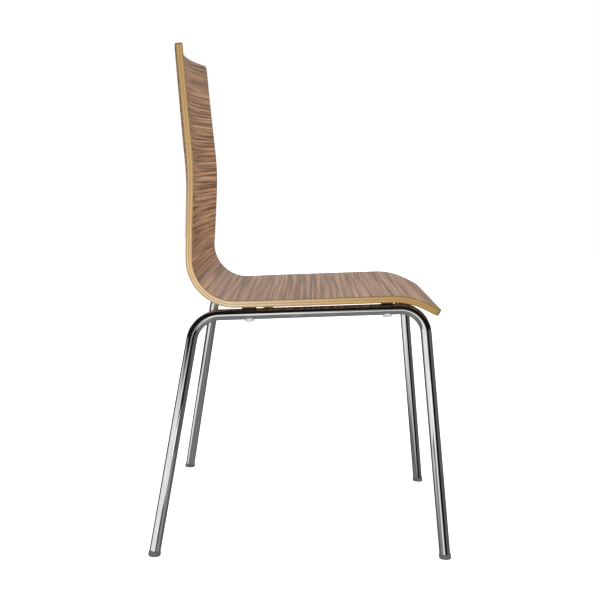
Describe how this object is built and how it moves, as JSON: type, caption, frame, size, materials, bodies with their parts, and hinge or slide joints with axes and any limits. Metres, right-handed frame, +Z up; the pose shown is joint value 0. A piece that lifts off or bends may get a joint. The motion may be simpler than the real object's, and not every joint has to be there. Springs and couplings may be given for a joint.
{
  "type": "stacking chair",
  "caption": "Stacking chair: one-piece moulded plywood seat and back with dark streaked veneer, on bent chromed tube side frames with plastic foot glides.",
  "frame": {"origin": "on the floor, midway between the four feet and on the chair's plane of symmetry", "axes": "+Z up; the sitter faces -Y; X across the width, so +X is the sitter's left"},
  "size_m": [0.5146, 0.5188, 0.8559],
  "materials": {
    "ply_core": "satin lacquered plywood edge, light veneers with fine darker layer lines",
    "face_veneer": "satin lacquered, dark irregular streaks across the width",
    "chromed_tube": "bright chrome plate",
    "glide_plastic": "matt moulded",
    "spacer_rubber": "matt",
    "buffer_plastic": "pale, slightly glossy nylon",
    "screw_steel": "zinc plated",
    "insert_brass": "machined"
  },
  "bodies": {
    "root": {"shell_core": "ply_core", "front_face_veneer": "face_veneer", "rear_face_veneer": "face_veneer", "left_side_frame": "chromed_tube", "right_side_frame": "chromed_tube", "front_cross_tube": "chromed_tube", "rear_cross_tube": "chromed_tube", "front_left_foot_glide": "glide_plastic", "front_right_foot_glide": "glide_plastic", "rear_left_foot_glide": "glide_plastic", "rear_right_foot_glide": "glide_plastic", "front_left_saddle_spacer": "spacer_rubber", "front_right_saddle_spacer": "spacer_rubber", "rear_left_saddle_spacer": "spacer_rubber", "rear_right_saddle_spacer": "spacer_rubber", "front_left_stacking_buffer": "buffer_plastic", "front_right_stacking_buffer": "buffer_plastic", "rear_left_stacking_buffer": "buffer_plastic", "rear_right_stacking_buffer": "buffer_plastic", "front_left_seat_screw": "screw_steel", "front_right_seat_screw": "screw_steel", "rear_left_seat_screw": "screw_steel", "rear_right_seat_screw": "screw_steel", "front_left_threaded_insert": "insert_brass", "front_right_threaded_insert": "insert_brass", "rear_left_threaded_insert": "insert_brass", "rear_right_threaded_insert": "insert_brass"}
  },
  "joints": []
}
